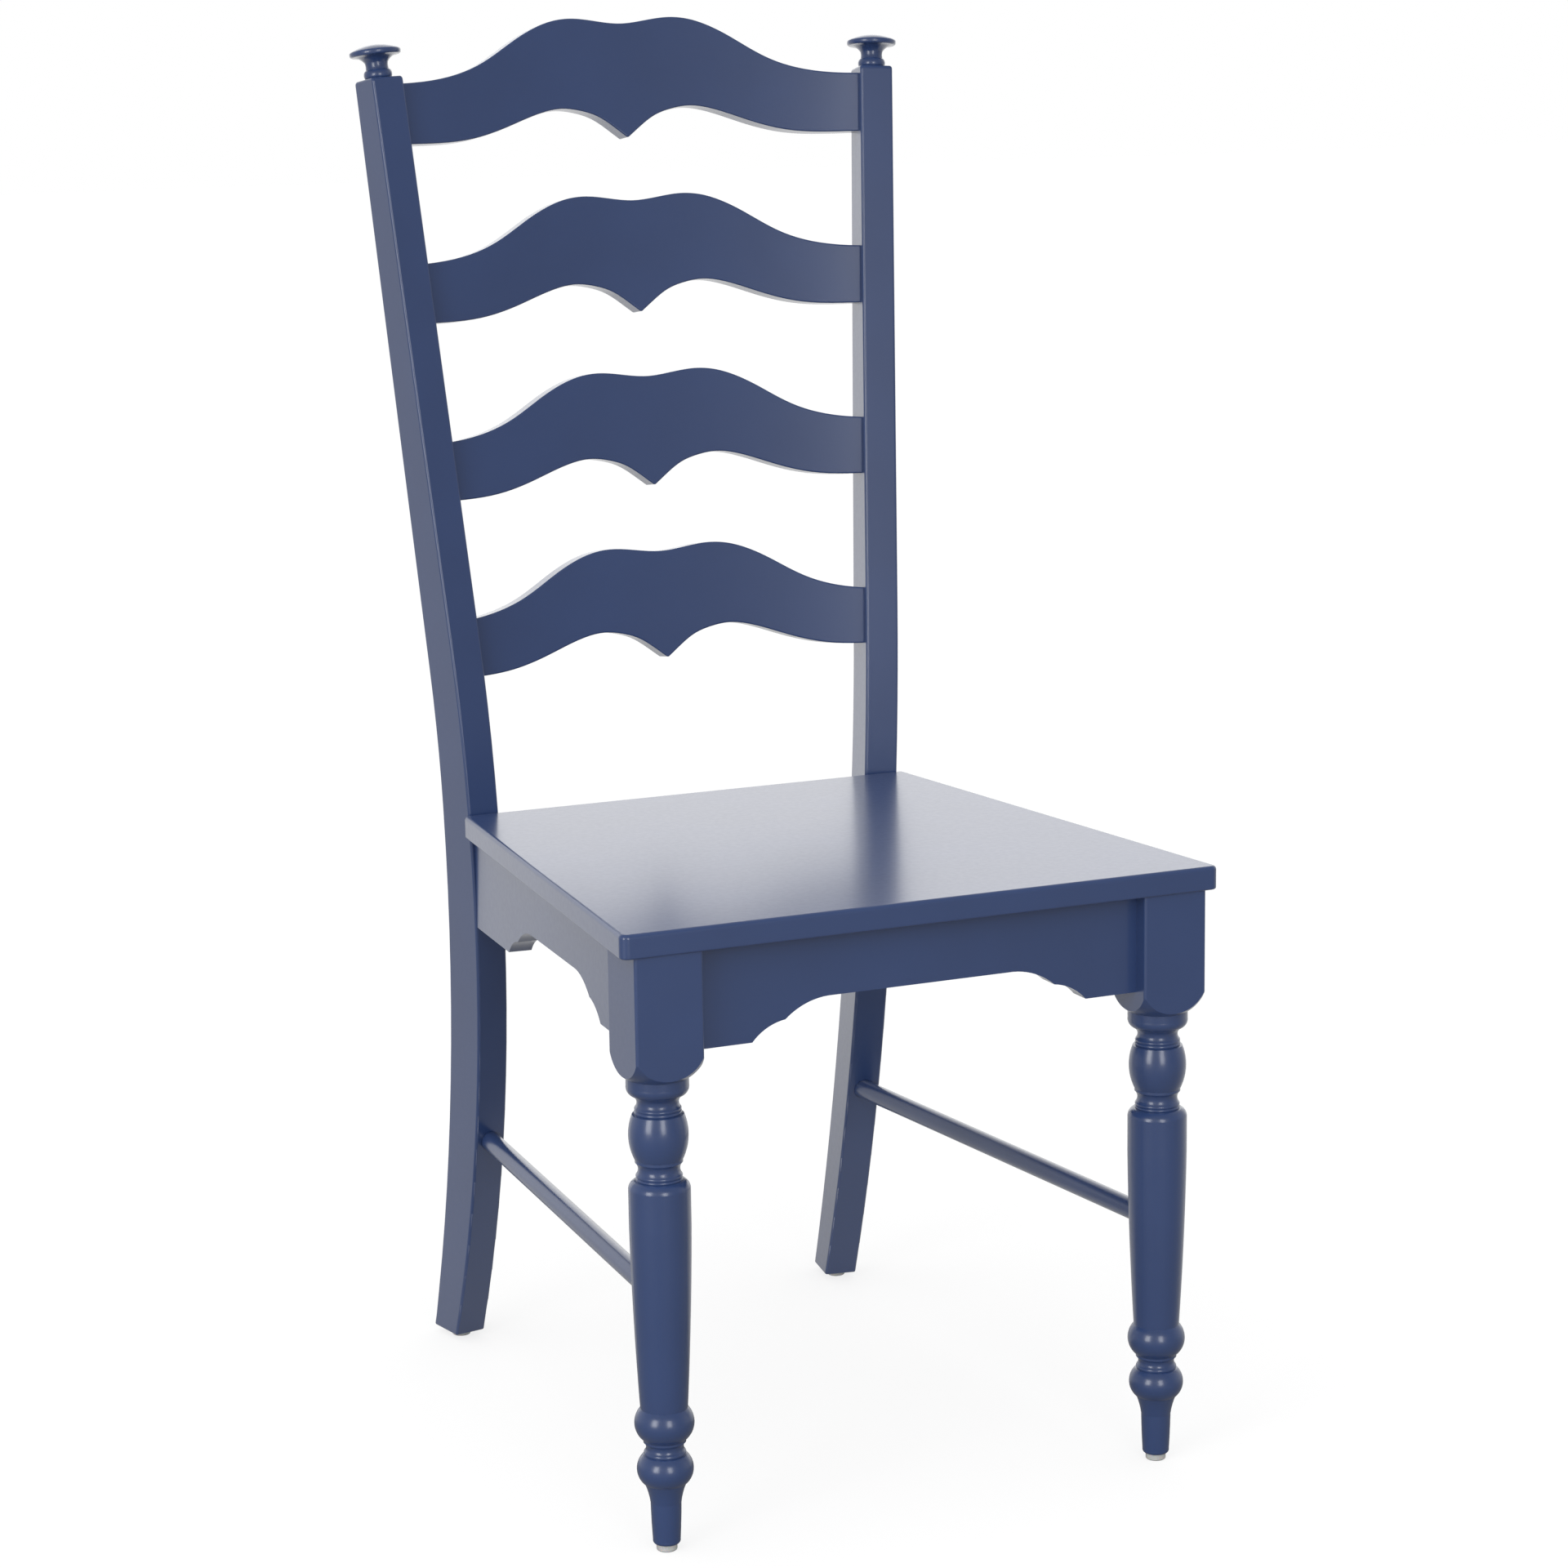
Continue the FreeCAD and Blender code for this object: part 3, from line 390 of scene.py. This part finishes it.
def kinds_of_ray(tree):
    """Sockets that say whether the camera sees a place, and whether gloss or glass shows it."""
    seen = add_node(tree, "LightPath").outputs
    mirrored = add_node(tree, "Math", {"operation": "MAXIMUM"}, i0=seen["Is Glossy Ray"],
                        i1=seen["Is Transmission Ray"]).outputs["Value"]
    return seen["Is Camera Ray"], mirrored


def white_paper():
    """Paper backdrop, rolled out matt: white to the eye right up to the chair's soft shadow, and
    in the paint's mirror a painted glow, brighter behind the chair than in front."""
    fibre_size = 0.003  # clumps of pulp
    lit = 0.27  # share of white that the lamps and the surroundings already give the paper
    lift = 0.78  # what takes the lit paper to white, and leaves the shadow a little darker
    near, far = 0.5, 2.5  # distances from the middle of the chair
    painted_shade_near_chair = 0.6  # painted shade: in the paint's mirror the paper glows dimmer near the chair than further off
    material, tree, place = blank("White paper, rolled out")
    fibre = add_node(tree, "TexNoise", Vector=place, Scale=1 / fibre_size,
                     Detail=2).outputs["Fac"]
    shade = add_node(tree, "MapRange", Value=fibre, **NOISE_RANGE,
                     To_Min=0.22, To_Max=0.23).outputs["Result"]
    paper = add_node(tree, "BsdfDiffuse", Color=shade).outputs["BSDF"]

    from_camera, mirrored = kinds_of_ray(tree)
    way = add_node(tree, "VectorMath", {"operation": "NORMALIZE"}, i0=place).outputs["Vector"]
    away = add_node(tree, "VectorMath", {"operation": "LENGTH"}, i0=place).outputs["Value"]
    reach = add_node(tree, "MapRange", Value=away, From_Min=near, From_Max=far,
                     To_Min=painted_shade_near_chair, To_Max=1.0).outputs["Result"]
    share = add_node(tree, "Math", {"operation": "MINIMUM"}, i0=backdrop_share(tree, way),
                     i1=reach).outputs["Value"]
    # painted light: the paper's glow in the paint's mirror, over the light that the paper already
    # gives
    painted_mirror_glow = add_node(tree, "Math", {"operation": "SUBTRACT", "use_clamp": True}, i0=share,
                     i1=lit).outputs["Value"]
    strength = add_node(tree, "Mix", {"data_type": "FLOAT"}, Factor=from_camera, A=painted_mirror_glow,
                        B=lift).outputs["Result"]
    white = add_node(tree, "Emission", Strength=strength).outputs["Emission"]
    lifted = add_node(tree, "AddShader", i0=paper, i1=white).outputs["Shader"]
    direct = add_node(tree, "Math", {"operation": "MAXIMUM"}, i0=from_camera,
                      i1=mirrored).outputs["Value"]
    mix = add_node(tree, "MixShader", Fac=direct, i1=paper, i2=lifted)
    add_node(tree, "OutputMaterial", Surface=mix.outputs["Shader"])
    return material


def studio_surroundings():
    """World of the studio: white to the camera, the backdrop and a darker room over it to the
    paint's mirror, and soft light from the ceiling and the screens to all the rest."""
    horizon, overhead = 0.28, 1.15  # shares of full light from the ceiling
    # heights at which the backdrop ends, and over which only the room is left
    backdrop_top, room = 0.3, 0.75
    room_share = 0.5  # of what the backdrop gives the mirror
    world = bpy.data.worlds.new("studio_surroundings")
    world.use_nodes = True
    tree = world.node_tree
    tree.nodes.clear()
    from_camera, mirrored = kinds_of_ray(tree)
    way = add_node(tree, "TexCoord").outputs["Generated"]
    height = add_node(tree, "SeparateXYZ", Vector=way).outputs["Z"]

    ceiling = add_node(tree, "MapRange", Value=height, From_Min=0.0, From_Max=1.0,
                       To_Min=horizon, To_Max=overhead).outputs["Result"]
    # the screens fill what the soft boxes leave dark
    facing = add_node(tree, "VectorMath", {"operation": "DOT_PRODUCT"}, i0=way,
                      i1=SCREENS).outputs["Value"]
    fill = add_node(tree, "Math", {"operation": "MAXIMUM"}, i0=facing, i1=0.0).outputs["Value"]
    light = add_node(tree, "Math", {"operation": "ADD"}, i0=fill, i1=ceiling).outputs["Value"]

    over = add_node(tree, "MapRange", Value=height, From_Min=backdrop_top, From_Max=room,
                    To_Min=1.0, To_Max=room_share).outputs["Result"]
    share = add_node(tree, "Math", {"operation": "MULTIPLY"}, i0=backdrop_share(tree, way),
                     i1=over).outputs["Value"]
    soft = add_node(tree, "Mix", {"data_type": "FLOAT"}, Factor=mirrored, A=light,
                    B=share).outputs["Result"]
    level = add_node(tree, "Mix", {"data_type": "FLOAT"}, Factor=from_camera, A=soft,
                     B=1.0).outputs["Result"]
    background = add_node(tree, "Background", Color=(1, 1, 1, 1), Strength=level)
    add_node(tree, "OutputWorld", Surface=background.outputs["Background"])
    return world


def add_lamp(name, place, width, height, share):
    """Soft box that gives LIT_POINT a share of full light, under which white paper is white."""
    light = bpy.data.lights.new(name, "AREA")
    light.shape = "RECTANGLE"
    light.size, light.size_y = width, height
    way = LIT_POINT - Vector(place)
    light.energy = share * math.pi ** 2 * way.length_squared
    lamp = bpy.data.objects.new(name, light)
    lamp.location = place
    lamp.rotation_mode = "QUATERNION"
    lamp.rotation_quaternion = way.to_track_quat("-Z", "Y")
    bpy.context.scene.collection.objects.link(lamp)


def camera_turn(heading, dip, roll):
    """Turn of a camera that looks along heading, from Y towards X, and dips below the horizon."""
    ahead = Vector((math.sin(heading) * math.cos(dip), math.cos(heading) * math.cos(dip),
                    -math.sin(dip)))
    level = Vector((math.cos(heading), -math.sin(heading), 0))
    up = level.cross(ahead)
    right = math.cos(roll) * level + math.sin(roll) * up
    top = math.cos(roll) * up - math.sin(roll) * level
    return Matrix((right, top, -ahead)).transposed().to_4x4()


class CHAIR_OT_studio(bpy.types.Operator):
    """Floor, lamps, surroundings and camera"""

    bl_idname = "chair.studio"
    bl_label = "Studio"

    def execute(self, context):
        studio = context.scene.chair_studio
        scene = context.scene
        half = studio.floor_size / 2
        mesh = bpy.data.meshes.new("floor")
        corners = [(-half, -half, 0), (half, -half, 0), (half, half, 0), (-half, half, 0)]
        mesh.from_pydata(corners, [], [(0, 1, 2, 3)])
        floor = bpy.data.objects.new("floor", mesh)
        scene.collection.objects.link(floor)
        mesh.materials.append(white_paper())

        for lamp in LAMPS:
            add_lamp(*lamp)
        scene.world = studio_surroundings()

        lens = bpy.data.cameras.new("camera")
        lens.sensor_fit = "HORIZONTAL"
        lens.sensor_width = 36
        lens.lens = studio.lens
        lens.clip_start, lens.clip_end = 0.05, 100
        camera = bpy.data.objects.new("camera", lens)
        turn = camera_turn(studio.camera_heading, studio.camera_dip, studio.camera_roll)
        camera.matrix_world = Matrix.Translation(studio.camera_place) @ turn
        scene.collection.objects.link(camera)
        scene.camera = camera
        scene.view_settings.view_transform = "Standard"
        return {"FINISHED"}


STEPS = (
    CHAIR_OT_front_legs,
    CHAIR_OT_back_posts,
    CHAIR_OT_finials,
    CHAIR_OT_ladder_slats,
    CHAIR_OT_seat,
    CHAIR_OT_aprons,
    CHAIR_OT_stretchers,
    CHAIR_OT_corner_blocks,
    CHAIR_OT_dowels,
    CHAIR_OT_screws,
    CHAIR_OT_glides,
    CHAIR_OT_studio,
)


class CHAIR_PT_sidebar(bpy.types.Panel):
    """The chair's finishes and steps"""

    bl_idname = "CHAIR_PT_sidebar"
    bl_label = "Ladderback chair"
    bl_space_type = "VIEW_3D"
    bl_region_type = "UI"
    bl_category = "Chair"

    def draw(self, context):
        for group in (context.scene.chair_finishes, context.scene.chair_studio):
            box = self.layout.box()
            for name in group.__annotations__:
                box.prop(group, name)
        for step in STEPS:
            self.layout.operator(step.bl_idname)


CLASSES = (ChairFinishes, ChairStudio, *STEPS, CHAIR_PT_sidebar)


def register():
    for kind in CLASSES:
        bpy.utils.register_class(kind)
    bpy.types.Scene.chair_finishes = bpy.props.PointerProperty(type=ChairFinishes)
    bpy.types.Scene.chair_studio = bpy.props.PointerProperty(type=ChairStudio)


def unregister():
    del bpy.types.Scene.chair_studio
    del bpy.types.Scene.chair_finishes
    for kind in reversed(CLASSES):
        bpy.utils.unregister_class(kind)


def main():
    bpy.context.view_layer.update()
    register()
    for step in STEPS:
        group, name = step.bl_idname.split(".")
        getattr(getattr(bpy.ops, group), name)()


if __name__ == "__main__":
    main()
